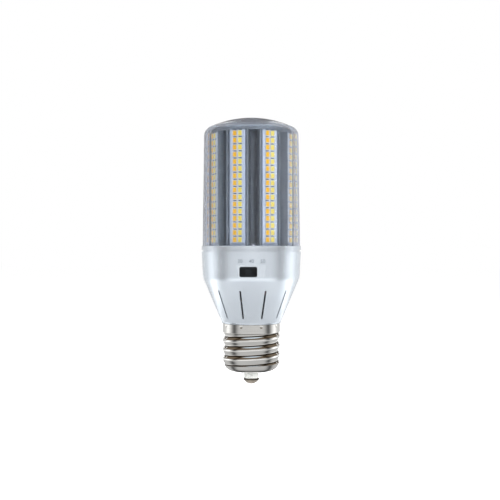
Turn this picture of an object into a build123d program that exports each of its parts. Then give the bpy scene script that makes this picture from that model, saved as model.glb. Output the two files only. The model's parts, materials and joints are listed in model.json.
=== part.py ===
"""LED post top retrofit lamp on a size 39 screw base, in millimetres.

The origin is the tip of the centre contact. +Z runs up the lamp's axis to the dome, and -Y is
the side with the colour selector. The lamp is described from the screw base upwards.
"""
from build123d import *
import math
import os

os.makedirs("parts", exist_ok=True)

# Fits
slip = 0.1
loose = 0.3
seat_gap = 0.05

# Centre contact and its insulator
contact_radius = 5.3
contact_dome_radius = 6.1
contact_height = 3.9
contact_stem_radius = 1.5
insulator_neck_radius = 4.9
insulator_neck_top = 7.8
insulator_thickness = 4.8
insulator_wall = 2.0

# Screw shell
thread_pitch = 6.35
thread_crest_radius = 19.55
thread_depth = 1.2
thread_first_crest = 13.85
shell_bottom = 9.0
shell_mouth_radius = 12.0
shell_wall = 0.6
collar_radius = 19.6
collar_bottom = 35.6
collar_top = 41.8
dimple_count = 9
dimple_radius = 1.6
dimple_depth = 0.35
dimple_drop = 1.4
dimple_turn = -20.2

# Driver housing
housing_wall = 2.4
neck_radius = 20.5
neck_height = 0.8
cone_height = 30.0
cone_half_angle = 22.8
crease_round = 12.0
skirt_height = 17.7
housing_top_radius = 34.0
spigot_wall = 2.0
spigot_length = 18.0
vent_count = 11
vent_width = 1.2
vent_rise = 3.1
vent_length = 19.0
vent_turn = 2.0
plate_ledge_width = 2.6
plate_ledge_height = 2.5

# Colour selector
selector_centre = -2.0
selector_rise = 4.5
pocket_depth = 1.2
pocket_height = 8.3
pocket_rise = 0.45
window_width = 11.6
window_height = 6.65
window_round = 1.2
knob_travel = 3.0
knob_width = 3.4
knob_height = 3.2
knob_base_width = 4.8
knob_base_height = 4.8
knob_base_depth = 2.0
knob_shy = 0.5
switch_wall = 0.8
switch_foot = 1.5
grip_count = 3
grip_width = 0.4
grip_depth = 0.3

# Driver board and what it carries
board_thickness = 1.6
board_clearance = 1.0
spacer_radius = 2.6
spacer_spread = 21.0
spacer_bore = 1.5
transformer_width = 15.0
transformer_gap = 0.7
transformer_depth = 12.0
transformer_height = 14.0
transformer_window = 8.0
bulk_capacitor_radius = 5.0
bulk_capacitor_height = 18.0
bulk_capacitor_gap = 0.4
choke_radius = 6.0
choke_bore = 2.6
choke_thickness = 5.0
film_capacitor_width = 11.0
film_capacitor_depth = 5.0
film_capacitor_height = 9.0
surge_disc_radius = 4.5
surge_disc_thickness = 3.6
chip_width = 5.0
chip_length = 6.2
chip_height = 1.6
part_spread = 15.0
part_margin = 1.0
part_round = 0.5

# Flange plate, its screws and the cover ring
plate_thickness = 2.0
plate_step = 2.2
screw_shank_radius = 1.4
screw_length = 9.0
screw_head_radius = 3.1
screw_head_height = 2.8
screw_washer_radius = 3.4
screw_washer_height = 0.8
screw_slot_width = 0.8
screw_slot_depth = 1.0
low_head_height = 1.6
spacer_screw_bite = 3.0
ring_width = 4.7
ring_height = 3.8
ring_lip = 0.5
ring_round = 0.15
ring_floor_inset = 0.8
ring_shadow_gap = 1.0
ring_floor_thickness = 1.6

# Heat sink
lobe_count = 8
pattern_turn = 3.4
dome_clearance = 0.8
lobe_plate_width = 15.4
lobe_plate_thickness = 2.3
lip_width = 1.1
lip_height = 2.1
web_width = 4.4
hub_radius = 15.5
hub_bore = 8.0
port_radius = 1.5
port_spread = 11.8
port_count = 4

# Light boards and diode packages
led_board_width = 10.4
led_board_thickness = 1.5
led_board_lift = 1.8
board_gap = 2.3
diode_width = 2.8
diode_height = 3.5
diode_thickness = 0.8
diode_pitch = 4.656
diode_margin = 3.8
diode_column_spacing = 3.7

# Top plate
top_plate_overhang = 1.5
top_plate_thickness = 1.3
top_rim_height = 1.2
top_rim_width = 1.2
top_lead_hole = 3.5

# Clear cover
cover_height = 91.0
cover_taper = 1.1
cover_wall = 1.6
cover_shoulder_round = 6.0
cover_crown_radius = 68.0

# Leads inside the lamp
lead_radius = 0.9

# Sizes that follow from the ones above
thread_root_radius = thread_crest_radius - thread_depth
shell_bore = thread_root_radius - shell_wall
collar_bore = collar_radius - shell_wall
dimple_height = collar_top - dimple_drop
neck_bottom = collar_top + loose
cone_bottom = neck_bottom + neck_height
cone_slope = math.tan(math.radians(cone_half_angle))
crease_height = cone_bottom + cone_height
crease_radius = neck_radius + cone_height * cone_slope
housing_top = crease_height + skirt_height
vent_middle = cone_bottom + vent_rise + vent_length / 2
wall_across = housing_wall / math.cos(math.radians(cone_half_angle))
spigot_radius = shell_bore - slip
spigot_collar_radius = collar_bore - slip
spigot_bore = spigot_radius - spigot_wall
spigot_bottom = neck_bottom - spigot_length
spigot_step = collar_bottom + loose
bore_radius = housing_top_radius - housing_wall
plate_bottom = housing_top - plate_thickness
plate_radius = bore_radius - loose
plate_step_radius = housing_top_radius - ring_width
sink_bottom = housing_top + plate_step
selector_height = crease_height + selector_rise
draft = (housing_top_radius - crease_radius) / (housing_top - crease_height)
skirt_radius = crease_radius + draft * (selector_height - crease_height)
pocket_face = skirt_radius - pocket_depth
inner_face = skirt_radius - housing_wall
driver_board_top = selector_height - knob_base_height / 2 - loose - switch_wall - switch_foot
driver_board_bottom = driver_board_top - board_thickness
driver_board_room = crease_radius - wall_across - cone_slope * (crease_height - driver_board_bottom)
driver_board_radius = driver_board_room - board_clearance
spacer_reach = spacer_spread - spacer_radius
transformer_spread = spacer_reach - transformer_gap - transformer_depth / 2
bulk_capacitor_spread = spacer_reach - bulk_capacitor_gap - bulk_capacitor_radius
ring_top = housing_top + ring_height
ring_floor_top = housing_top + ring_floor_thickness
ring_bore = plate_step_radius + loose
cover_bottom = ring_floor_top
cover_apex = housing_top + cover_height
cover_radius = housing_top_radius - ring_lip - slip
cover_top_radius = cover_radius - cover_taper
board_face = cover_top_radius - cover_wall - board_gap - diode_thickness
seat_radius = board_face - led_board_thickness
top_plate_radius = seat_radius + top_plate_overhang
crown_height = math.sqrt((cover_crown_radius - cover_wall) ** 2 - top_plate_radius**2)
top_rim = cover_apex - cover_crown_radius + crown_height - dome_clearance
sink_top = top_rim - top_rim_height - top_plate_thickness
led_board_bottom = sink_bottom + led_board_lift
led_board_top = sink_top - loose
first_diode_row = led_board_bottom + diode_margin
diode_room = led_board_top - first_diode_row - diode_height / 2
diode_rows = int(diode_room / diode_pitch) + 1
lobe_step = 360 / lobe_count


def write(piece, name):
    """Label a finished piece and write it to its own file."""
    piece.part.label = name
    export_step(piece.part, f"parts/{name}.step")


# Centre contact: a domed button on a stem
with BuildPart() as centre_contact:
    with BuildSketch(Plane.XZ):
        with BuildLine():
            dome_edge = contact_dome_radius - math.sqrt(contact_dome_radius**2 - contact_radius**2)
            arc_angle = math.asin(contact_radius / contact_dome_radius) / 2
            half_way = contact_dome_radius * math.sin(arc_angle)
            half_drop = contact_dome_radius * (1 - math.cos(arc_angle))
            ThreePointArc((0, 0), (half_way, half_drop), (contact_radius, dome_edge))
            Polyline(
                (contact_radius, dome_edge),
                (contact_radius, contact_height),
                (contact_stem_radius, contact_height),
                (contact_stem_radius, shell_bottom + insulator_thickness),
                (0, shell_bottom + insulator_thickness),
                (0, 0),
            )
        make_face()
    revolve(axis=Axis.Z)
write(centre_contact, "centre_contact")

# Contact insulator: a neck under a cone that fills the mouth of the shell, with a flange inside
mouth_rise = shell_wall + slip
flange_radius = shell_bore - insulator_wall
flange_rise = (flange_radius - shell_mouth_radius) / 2
with BuildPart() as contact_insulator:
    with BuildSketch(Plane.XZ):
        with BuildLine():
            Polyline(
                (contact_stem_radius + seat_gap, contact_height),
                (insulator_neck_radius, contact_height),
                (insulator_neck_radius, insulator_neck_top),
                (shell_mouth_radius - slip, shell_bottom),
                (shell_mouth_radius - slip, shell_bottom + mouth_rise + seat_gap),
                (flange_radius, shell_bottom + mouth_rise + flange_rise + seat_gap),
                (flange_radius, shell_bottom + insulator_thickness),
                (contact_stem_radius + seat_gap, shell_bottom + insulator_thickness),
                close=True,
            )
        make_face()
    revolve(axis=Axis.Z)
write(contact_insulator, "contact_insulator")

# Screw shell: a rounded ridge wound on a drum, trimmed to a round bottom and bored thin
helix_start = thread_first_crest - 2 * thread_pitch
helix_end = collar_bottom + thread_pitch / 2
ridge_sink = 0.3
ridge_half_base = thread_pitch / 2 - 0.1
ridge_half_crest = thread_pitch / 4
with BuildPart() as thread_ridge:
    with BuildLine() as thread_path:
        Helix(thread_pitch, helix_end - helix_start, thread_root_radius, center=(0, 0, helix_start))
    with BuildSketch(
        Plane(origin=thread_path.line @ 0, x_dir=(1, 0, 0), z_dir=thread_path.line % 0)
    ):
        with BuildLine():
            Line((-ridge_sink, ridge_half_base), (-ridge_sink, -ridge_half_base))
            RadiusArc(
                (-ridge_sink, -ridge_half_base),
                (thread_depth / 2, -ridge_half_crest),
                2 * thread_depth,
            )
            ThreePointArc(
                (thread_depth / 2, -ridge_half_crest),
                (thread_depth, 0),
                (thread_depth / 2, ridge_half_crest),
            )
            RadiusArc(
                (thread_depth / 2, ridge_half_crest),
                (-ridge_sink, ridge_half_base),
                2 * thread_depth,
            )
        make_face()
    sweep(path=thread_path.line, is_frenet=True)

round_height = thread_first_crest + thread_pitch / 5
with BuildPart() as screw_shell:
    Cylinder(thread_root_radius, collar_top, align=(Align.CENTER, Align.CENTER, Align.MIN))
    add(thread_ridge.part)
    with Locations((0, 0, collar_bottom)):
        Cylinder(
            collar_radius,
            collar_top - collar_bottom,
            align=(Align.CENTER, Align.CENTER, Align.MIN),
        )
    with BuildSketch(Plane.XZ):
        with BuildLine():
            Line((0, shell_bottom), (shell_mouth_radius, shell_bottom))
            RadiusArc(
                (shell_mouth_radius, shell_bottom),
                (collar_radius, round_height),
                -(collar_radius - shell_mouth_radius),
            )
            Polyline(
                (collar_radius, round_height),
                (collar_radius, collar_top),
                (0, collar_top),
                (0, shell_bottom),
            )
        make_face()
    revolve(axis=Axis.Z, mode=Mode.INTERSECT)
    with BuildSketch(Plane.XZ):
        with BuildLine():
            Polyline(
                (0, shell_bottom),
                (shell_mouth_radius, shell_bottom),
                (shell_mouth_radius, shell_bottom + mouth_rise),
                (flange_radius + slip, shell_bottom + mouth_rise + flange_rise + slip / 2),
                (shell_bore, round_height),
                (shell_bore, collar_bottom),
                (collar_bore, collar_bottom),
                (collar_bore, collar_top),
                (0, collar_top),
                close=True,
            )
        make_face()
    revolve(axis=Axis.Z, mode=Mode.SUBTRACT)
    for dimple in range(dimple_count):
        angle = math.radians(dimple_turn - 90 + dimple * 360 / dimple_count)
        reach = collar_radius + dimple_radius - dimple_depth
        with Locations((reach * math.cos(angle), reach * math.sin(angle), dimple_height)):
            Sphere(dimple_radius, mode=Mode.SUBTRACT)
write(screw_shell, "screw_shell")

# Driver housing: a neck and spigot under a cone and a skirt, one hollow moulding
with BuildPart() as driver_housing:
    with BuildSketch(Plane.XZ):
        with BuildLine():
            outer = FilletPolyline(
                (neck_radius, neck_bottom),
                (neck_radius, cone_bottom),
                (crease_radius, crease_height),
                (housing_top_radius, housing_top),
                radius=(neck_height / 2, crease_round),
            )
            Polyline(
                outer @ 1,
                (0, housing_top),
                (0, spigot_bottom),
                (spigot_radius, spigot_bottom),
                (spigot_radius, spigot_step),
                (spigot_collar_radius, spigot_step),
                (spigot_collar_radius, neck_bottom),
                outer @ 0,
            )
        make_face()
    revolve(axis=Axis.Z)
    floor_height = cone_bottom + (spigot_bore + wall_across - neck_radius) / cone_slope
    floor_height = max(floor_height, neck_bottom + housing_wall)
    floor_radius = neck_radius + (floor_height - cone_bottom) * cone_slope - wall_across
    with BuildSketch(Plane.XZ):
        with BuildLine():
            inner = FilletPolyline(
                (floor_radius, floor_height),
                (crease_radius - wall_across, crease_height),
                (bore_radius, housing_top),
                radius=(crease_round - housing_wall,),
            )
            Polyline(
                inner @ 1,
                (0, housing_top),
                (0, spigot_bottom),
                (spigot_bore, spigot_bottom),
                (spigot_bore, floor_height),
                inner @ 0,
            )
        make_face()
    revolve(axis=Axis.Z, mode=Mode.SUBTRACT)
    with BuildSketch(Plane.XZ):
        with BuildLine():
            Polyline(
                (bore_radius - plate_ledge_width, plate_bottom),
                (bore_radius + housing_wall / 2, plate_bottom),
                (bore_radius + housing_wall / 2 - draft, plate_bottom - plate_ledge_height),
                (bore_radius - slip, plate_bottom - plate_ledge_height),
                (bore_radius - plate_ledge_width, plate_bottom - slip),
                close=True,
            )
        make_face()
    revolve(axis=Axis.Z)
    for vent in range(vent_count):
        angle = vent_turn - 90 + (vent + 0.5) * 360 / vent_count
        outward = (math.cos(math.radians(angle)), math.sin(math.radians(angle)), 0)
        vent_plane = Plane(
            origin=(0, 0, vent_middle), x_dir=(0, 0, 1), z_dir=outward
        )
        with BuildSketch(vent_plane.offset(spigot_bore)):
            SlotOverall(vent_length, vent_width)
        extrude(amount=housing_top_radius - spigot_bore, mode=Mode.SUBTRACT)
    with BuildSketch(Plane.XZ.offset(pocket_face)):
        with Locations((0, selector_height + pocket_rise)):
            Rectangle(2 * housing_top_radius, pocket_height)
    extrude(amount=housing_top_radius, mode=Mode.SUBTRACT)
    with BuildSketch(Plane.XZ.offset(inner_face - housing_wall)):
        with Locations((selector_centre, selector_height)):
            RectangleRounded(window_width, window_height, window_round)
    extrude(amount=housing_top_radius, mode=Mode.SUBTRACT)
write(driver_housing, "driver_housing")

# Selector switch: a box with a slot, open behind the window, and the knob that slides in it
slot_half = knob_width / 2 + knob_travel + loose
cavity_half = knob_base_width / 2 + knob_travel + loose
switch_width = 2 * (cavity_half + switch_wall)
switch_reach = abs(selector_centre) + switch_width / 2
switch_room = crease_radius - wall_across - cone_slope * (crease_height - driver_board_top)
switch_front = math.sqrt((switch_room - loose) ** 2 - switch_reach**2) - loose
cavity_depth = knob_base_depth + 2 * loose
switch_depth = cavity_depth + 2 * switch_wall
switch_top = selector_height + knob_base_height / 2 + loose + switch_wall
switch_height = switch_top - driver_board_top
with BuildPart() as switch_body:
    with BuildSketch(Plane.XZ.offset(switch_front - switch_depth)):
        with Locations((selector_centre, driver_board_top)):
            Rectangle(switch_width, switch_height, align=(Align.CENTER, Align.MIN))
    extrude(amount=switch_depth)
    with BuildSketch(Plane.XZ.offset(switch_front - switch_wall)):
        with Locations((selector_centre, selector_height)):
            Rectangle(2 * cavity_half, knob_base_height + 2 * loose)
    extrude(amount=-cavity_depth, mode=Mode.SUBTRACT)
    with BuildSketch(Plane.XZ.offset(switch_front - switch_wall)):
        with Locations((selector_centre, selector_height)):
            Rectangle(2 * slot_half, knob_height + 2 * loose)
    extrude(amount=switch_wall, mode=Mode.SUBTRACT)
write(switch_body, "switch_body")

knob_base_front = switch_front - switch_wall - loose
knob_face = pocket_face - knob_shy
with BuildPart() as selector_knob:
    with BuildSketch(Plane.XZ.offset(knob_base_front - knob_base_depth)):
        with Locations((selector_centre, selector_height)):
            Rectangle(knob_base_width, knob_base_height)
    extrude(amount=knob_base_depth)
    with BuildSketch(Plane.XZ.offset(knob_base_front)):
        with Locations((selector_centre, selector_height)):
            RectangleRounded(knob_width, knob_height, grip_width)
    extrude(amount=knob_face - knob_base_front)
    with BuildSketch(Plane.XZ.offset(knob_face - grip_depth)):
        with Locations((selector_centre, selector_height)):
            with GridLocations(2 * grip_width, 0, grip_count, 1):
                Rectangle(grip_width, knob_height)
    extrude(amount=grip_depth, mode=Mode.SUBTRACT)
write(selector_knob, "selector_knob")

# Driver board: a round board that hangs from the flange plate on four spacers
with BuildPart() as driver_board:
    with BuildSketch(Plane.XY.offset(driver_board_bottom)):
        Circle(driver_board_radius)
        with PolarLocations(spacer_spread, port_count, start_angle=pattern_turn):
            Circle(spacer_bore, mode=Mode.SUBTRACT)
    extrude(amount=board_thickness)
write(driver_board, "driver_board")

with BuildPart() as board_spacers:
    with BuildSketch(Plane.XY.offset(driver_board_top)):
        with PolarLocations(spacer_spread, port_count, start_angle=pattern_turn):
            RegularPolygon(spacer_radius, 6)
            Circle(spacer_bore, mode=Mode.SUBTRACT)
    extrude(amount=plate_bottom - driver_board_top)
write(board_spacers, "board_spacers")


def pan_screws(spread, head_base, upward, head_radius, shank, length, head_height):
    """Slotted pan head screws in a ring, with the head above or below the face they clamp."""
    side = 1 if upward else -1
    with BuildPart() as screws:
        with BuildSketch(Plane.XY.offset(head_base)):
            with PolarLocations(spread, port_count, start_angle=pattern_turn):
                Circle(head_radius)
        extrude(amount=side * head_height)
        crown = screws.faces().filter_by(Axis.Z).group_by(Axis.Z)[-1 if upward else 0]
        chamfer(crown.edges(), length=head_height / 3)
        with BuildSketch(Plane.XY.offset(head_base)):
            with PolarLocations(spread, port_count, start_angle=pattern_turn):
                Circle(shank)
        extrude(amount=-side * length)
        with BuildSketch(Plane.XY.offset(head_base + side * head_height)):
            with PolarLocations(spread, port_count, start_angle=pattern_turn):
                Rectangle(2 * head_radius, screw_slot_width)
        extrude(amount=-side * screw_slot_depth, mode=Mode.SUBTRACT)
    return screws


spacer_screws = pan_screws(
    spacer_spread,
    driver_board_bottom,
    False,
    spacer_radius,
    spacer_bore - slip,
    board_thickness + spacer_screw_bite,
    low_head_height,
)
write(spacer_screws, "spacer_screws")

# Components that hang under the driver board
with BuildPart() as transformer_core:
    with BuildSketch(Plane.XY.offset(driver_board_bottom - transformer_height)):
        with Locations((0, transformer_spread)):
            Rectangle(transformer_width, transformer_depth)
    extrude(amount=transformer_height)
    with BuildSketch(Plane.XZ.offset(-part_spread - transformer_depth)):
        with Locations((0, driver_board_bottom - transformer_height / 2)):
            with GridLocations(transformer_width / 2, 0, 2, 1):
                Rectangle(transformer_window / 2, transformer_window)
    extrude(amount=2 * transformer_depth, mode=Mode.SUBTRACT)
write(transformer_core, "transformer_core")

leg_half = transformer_width / 4 - transformer_window / 4
with BuildPart() as transformer_winding:
    with BuildSketch(Plane.XY.offset(driver_board_bottom - transformer_height / 2)):
        with Locations((0, transformer_spread)):
            Rectangle(
                2 * (leg_half + transformer_window / 2) - 2 * slip,
                transformer_depth + transformer_window / 3,
            )
            Rectangle(2 * (leg_half + slip), transformer_depth + 2 * slip, mode=Mode.SUBTRACT)
    extrude(amount=transformer_window / 2 - slip, both=True)
write(transformer_winding, "transformer_winding")

for number, side in enumerate((-1, 1), start=1):
    with BuildPart() as bulk_capacitor:
        with BuildSketch(Plane.XY.offset(driver_board_bottom - bulk_capacitor_height)):
            with Locations((side * bulk_capacitor_spread, -part_margin)):
                Circle(bulk_capacitor_radius)
        extrude(amount=bulk_capacitor_height)
        fillet(bulk_capacitor.edges().sort_by(Axis.Z)[0], radius=part_round)
    write(bulk_capacitor, f"bulk_capacitor_{number}")

with BuildPart() as input_choke:
    with BuildSketch(Plane.XZ.offset(part_spread - choke_thickness / 2)):
        with Locations((-choke_radius - part_margin, driver_board_bottom - choke_radius)):
            Circle(choke_radius)
            Circle(choke_bore, mode=Mode.SUBTRACT)
    extrude(amount=choke_thickness)
write(input_choke, "input_choke")

with BuildPart() as film_capacitor:
    with BuildSketch(Plane.XY.offset(driver_board_bottom - film_capacitor_height)):
        with Locations((film_capacitor_width / 2 + part_margin, -part_spread)):
            Rectangle(film_capacitor_width, film_capacitor_depth)
    extrude(amount=film_capacitor_height)
    fillet(film_capacitor.edges().filter_by(Axis.Z), radius=part_round)
write(film_capacitor, "film_capacitor")

with BuildPart() as surge_disc:
    with BuildSketch(Plane.XZ.offset(part_spread / 3)):
        with Locations((0, driver_board_bottom - surge_disc_radius)):
            Circle(surge_disc_radius)
    extrude(amount=surge_disc_thickness)
write(surge_disc, "surge_disc")

with BuildPart() as driver_chips:
    with BuildSketch(Plane.XY.offset(driver_board_top)):
        with GridLocations(2 * chip_length, 2 * chip_length, 2, 2):
            Rectangle(chip_width, chip_length)
    extrude(amount=chip_height)
write(driver_chips, "driver_chips")

# Flange plate: a stepped disc that closes the housing and carries the heat sink
with BuildPart() as flange_plate:
    with BuildSketch(Plane.XY.offset(plate_bottom)):
        Circle(plate_radius)
    extrude(amount=plate_thickness)
    with BuildSketch(Plane.XY.offset(housing_top)):
        Circle(plate_step_radius)
    extrude(amount=plate_step)
    with BuildSketch(Plane.XY.offset(plate_bottom)):
        Circle(hub_bore)
        with PolarLocations(spacer_spread, port_count, start_angle=pattern_turn):
            Circle(screw_shank_radius + seat_gap)
        with PolarLocations(port_spread, port_count, start_angle=pattern_turn):
            Circle(port_radius)
    extrude(amount=plate_thickness + plate_step, mode=Mode.SUBTRACT)
write(flange_plate, "flange_plate")

with BuildPart() as flange_screws:
    with BuildSketch(Plane.XY.offset(sink_bottom)):
        with PolarLocations(spacer_spread, port_count, start_angle=pattern_turn):
            Circle(screw_washer_radius)
    extrude(amount=screw_washer_height)
    with BuildSketch(Plane.XY.offset(sink_bottom + screw_washer_height)):
        with PolarLocations(spacer_spread, port_count, start_angle=pattern_turn):
            Circle(screw_head_radius)
    extrude(amount=screw_head_height)
    fillet(
        flange_screws.faces().filter_by(Axis.Z).group_by(Axis.Z)[-1].edges(),
        radius=screw_head_height / 2,
    )
    with BuildSketch(Plane.XY.offset(sink_bottom + screw_washer_height + screw_head_height)):
        with PolarLocations(spacer_spread, port_count, start_angle=pattern_turn):
            Rectangle(2 * screw_head_radius, screw_slot_width)
    extrude(amount=-screw_slot_depth, mode=Mode.SUBTRACT)
    with BuildSketch(Plane.XY.offset(sink_bottom)):
        with PolarLocations(spacer_spread, port_count, start_angle=pattern_turn):
            Circle(screw_shank_radius)
    extrude(amount=-screw_length)
write(flange_screws, "flange_screws")

sink_screws = pan_screws(
    port_spread,
    plate_bottom,
    False,
    spacer_radius,
    port_radius - slip,
    screw_length + plate_step,
    low_head_height,
)
write(sink_screws, "sink_screws")

# Cover ring: a stepped ring that stands on the housing and holds the foot of the clear cover
with BuildPart() as cover_ring:
    with BuildSketch(Plane.XZ):
        with BuildLine():
            Polyline(
                (ring_bore, housing_top),
                (housing_top_radius - ring_floor_inset, housing_top),
                (housing_top_radius - ring_floor_inset, housing_top + ring_shadow_gap),
                (housing_top_radius, housing_top + ring_shadow_gap),
                (housing_top_radius, ring_top),
                (cover_radius + slip, ring_top),
                (cover_radius + slip, ring_floor_top),
                (ring_bore, ring_floor_top),
                close=True,
            )
        make_face()
    revolve(axis=Axis.Z)
    chamfer(
        cover_ring.edges().filter_by(GeomType.CIRCLE).group_by(SortBy.RADIUS)[-1],
        length=ring_round,
    )
write(cover_ring, "cover_ring")

# Heat sink: an eight lobed extrusion, each lobe a web with a seat plate and two lips
with BuildPart() as heat_sink:
    with BuildSketch(Plane.XY.offset(sink_bottom)):
        Circle(hub_radius)
        with PolarLocations(0, lobe_count, start_angle=pattern_turn + lobe_step / 2 - 90):
            with Locations((seat_radius / 2, 0)):
                Rectangle(seat_radius, web_width)
            with Locations((seat_radius - lobe_plate_thickness, 0)):
                Rectangle(lobe_plate_thickness, lobe_plate_width, align=(Align.MIN, Align.CENTER))
            with Locations((seat_radius - seat_gap, 0)):
                with GridLocations(0, lobe_plate_width - lip_width, 1, 2):
                    Rectangle(lip_height + seat_gap, lip_width, align=(Align.MIN, Align.CENTER))
        Circle(hub_bore, mode=Mode.SUBTRACT)
        with PolarLocations(port_spread, port_count, start_angle=pattern_turn):
            Circle(port_radius, mode=Mode.SUBTRACT)
    extrude(amount=sink_top - sink_bottom)
write(heat_sink, "heat_sink")

# Light boards, each with a column of warm and a column of cool diodes
for lobe in range(lobe_count):
    angle = pattern_turn + (lobe + 0.5) * lobe_step - 90
    outward = (math.cos(math.radians(angle)), math.sin(math.radians(angle)), 0)
    across = (-math.sin(math.radians(angle)), math.cos(math.radians(angle)), 0)
    lobe_plane = Plane(origin=(0, 0, 0), x_dir=across, z_dir=outward)
    with BuildPart() as led_board:
        with BuildSketch(lobe_plane.offset(seat_radius)):
            with Locations((0, led_board_bottom)):
                Rectangle(
                    led_board_width,
                    led_board_top - led_board_bottom,
                    align=(Align.CENTER, Align.MIN),
                )
        extrude(amount=led_board_thickness)
    write(led_board, f"led_board_{lobe + 1}")
    for name, column in (("warm", -1), ("cool", 1)):
        with BuildPart() as diodes:
            middle_row = first_diode_row + diode_pitch * (diode_rows - 1) / 2
            with BuildSketch(lobe_plane.offset(board_face)):
                with Locations((column * diode_column_spacing / 2, middle_row)):
                    with GridLocations(0, diode_pitch, 1, diode_rows):
                        Rectangle(diode_width, diode_height)
            extrude(amount=diode_thickness)
        write(diodes, f"{name}_diodes_{lobe + 1}")

# Top plate: a dished disc screwed to the top of the heat sink
with BuildPart() as top_plate:
    with BuildSketch(Plane.XY.offset(sink_top)):
        Circle(top_plate_radius)
        Circle(top_lead_hole, mode=Mode.SUBTRACT)
        with PolarLocations(port_spread, port_count, start_angle=pattern_turn):
            Circle(port_radius, mode=Mode.SUBTRACT)
    extrude(amount=top_plate_thickness)
    with BuildSketch(Plane.XY.offset(sink_top + top_plate_thickness)):
        Circle(top_plate_radius)
        Circle(top_plate_radius - top_rim_width, mode=Mode.SUBTRACT)
    extrude(amount=top_rim_height)
    chamfer(
        top_plate.edges().filter_by(GeomType.CIRCLE).group_by(Axis.Z)[-1],
        length=top_rim_width / 4,
    )
write(top_plate, "top_plate")

top_screws = pan_screws(
    port_spread,
    sink_top + top_plate_thickness,
    True,
    spacer_radius,
    port_radius - slip,
    screw_length,
    low_head_height,
)
write(top_screws, "top_screws")

# Clear cover: a drafted tube with a round shoulder under a shallow crown
crown_centre = cover_apex - cover_crown_radius
with BuildPart() as lens_cover:
    for inset, mode in ((0, Mode.ADD), (cover_wall, Mode.SUBTRACT)):
        crown = cover_crown_radius - inset
        side = cover_top_radius - inset
        crown_edge = crown_centre + math.sqrt(crown**2 - side**2)
        crown_half_height = crown_centre + math.sqrt(crown**2 - (side / 2) ** 2)
        with BuildSketch(Plane.XZ) as cover_profile:
            with BuildLine():
                Polyline(
                    (0, crown_centre + crown),
                    (0, cover_bottom),
                    (cover_radius - inset, cover_bottom),
                    (side, crown_edge),
                )
                ThreePointArc(
                    (side, crown_edge),
                    (side / 2, crown_half_height),
                    (0, crown_centre + crown),
                )
            make_face()
            corner = cover_profile.vertices().sort_by_distance((side, crown_edge))[0]
            fillet(corner, radius=cover_shoulder_round - inset)
        revolve(axis=Axis.Z, mode=mode)
write(lens_cover, "lens_cover")


def lead(points, name):
    """A lead along straight runs joined by arcs as large as the shorter run beside them allows."""
    radii = []
    for before, corner, after in zip(points, points[1:], points[2:]):
        inward = Vector(*corner) - Vector(*before)
        onward = Vector(*after) - Vector(*corner)
        turn = math.radians(inward.get_angle(onward))
        radii.append(0.45 * min(inward.length, onward.length) / math.tan(turn / 2))
    with BuildPart() as piece:
        with BuildLine() as route:
            FilletPolyline(*points, radius=radii)
        with BuildSketch(Plane(origin=route.line @ 0, z_dir=route.line % 0)):
            Circle(lead_radius)
        sweep(path=route.line)
    wire = route.wire()
    ideal = math.pi * lead_radius**2 * wire.length
    print(name, "length", round(wire.length, 1), "radii", [round(r, 1) for r in radii],
          "volume share", round(piece.part.volume / ideal, 4))
    write(piece, name)


# Leads: from the centre contact and the shell to the driver board, and up the heat sink's bore
stem_top = shell_bottom + insulator_thickness
centre_run = driver_board_bottom - stem_top
lead(
    [
        (0, 0, stem_top),
        (0, 0, stem_top + centre_run * 0.16),
        (-4, 2, stem_top + centre_run * 0.35),
        (-5, 3, stem_top + centre_run * 0.58),
        (-3.5, 1.8, stem_top + centre_run * 0.82),
        (-3.5, 1.8, driver_board_bottom),
    ],
    "centre_lead",
)
lead(
    [
        (shell_bore - lead_radius - slip, 0, spigot_bottom - spigot_length * 0.28),
        (spigot_bore - 2.4, 0.6, spigot_bottom + spigot_length * 0.03),
        (spigot_bore - 3.0, 1.5, spigot_bottom + spigot_length * 0.67),
        (8.0, 2.0, neck_bottom + spigot_length * 0.45),
        (4.8, 1.8, stem_top + centre_run * 0.81),
        (4.8, 1.8, driver_board_bottom),
    ],
    "shell_lead",
)
bore_run = sink_top - sink_bottom
for number, side in enumerate((-1, 1), start=1):
    lead(
        [
            (side * 3.0, 0, driver_board_top),
            (side * 3.0, 0, (driver_board_top + plate_bottom) / 2),
            (side * 2.0, 0.6, plate_bottom),
            (side * 1.6, 0.2, sink_bottom + bore_run * 0.23),
            (side * 1.4, -0.4, sink_bottom + bore_run * 0.46),
            (side * 1.6, 0.3, sink_bottom + bore_run * 0.69),
            (side * 1.4, 0, sink_bottom + bore_run * 0.92),
            (side * 1.4, 0, sink_top + top_plate_thickness),
        ],
        f"output_lead_{number}",
    )
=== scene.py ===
"""The looks of a post top retrofit lamp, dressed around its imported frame.

The frame holds the lamp's pieces at their real size, with the tip of the centre contact at the
origin, +Z up to the dome and -Y towards the colour selector. Sizes below are in millimetres and
become metres when a mesh is made.
"""

import json
import logging
import math
from dataclasses import dataclass, field
from enum import Enum

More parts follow.
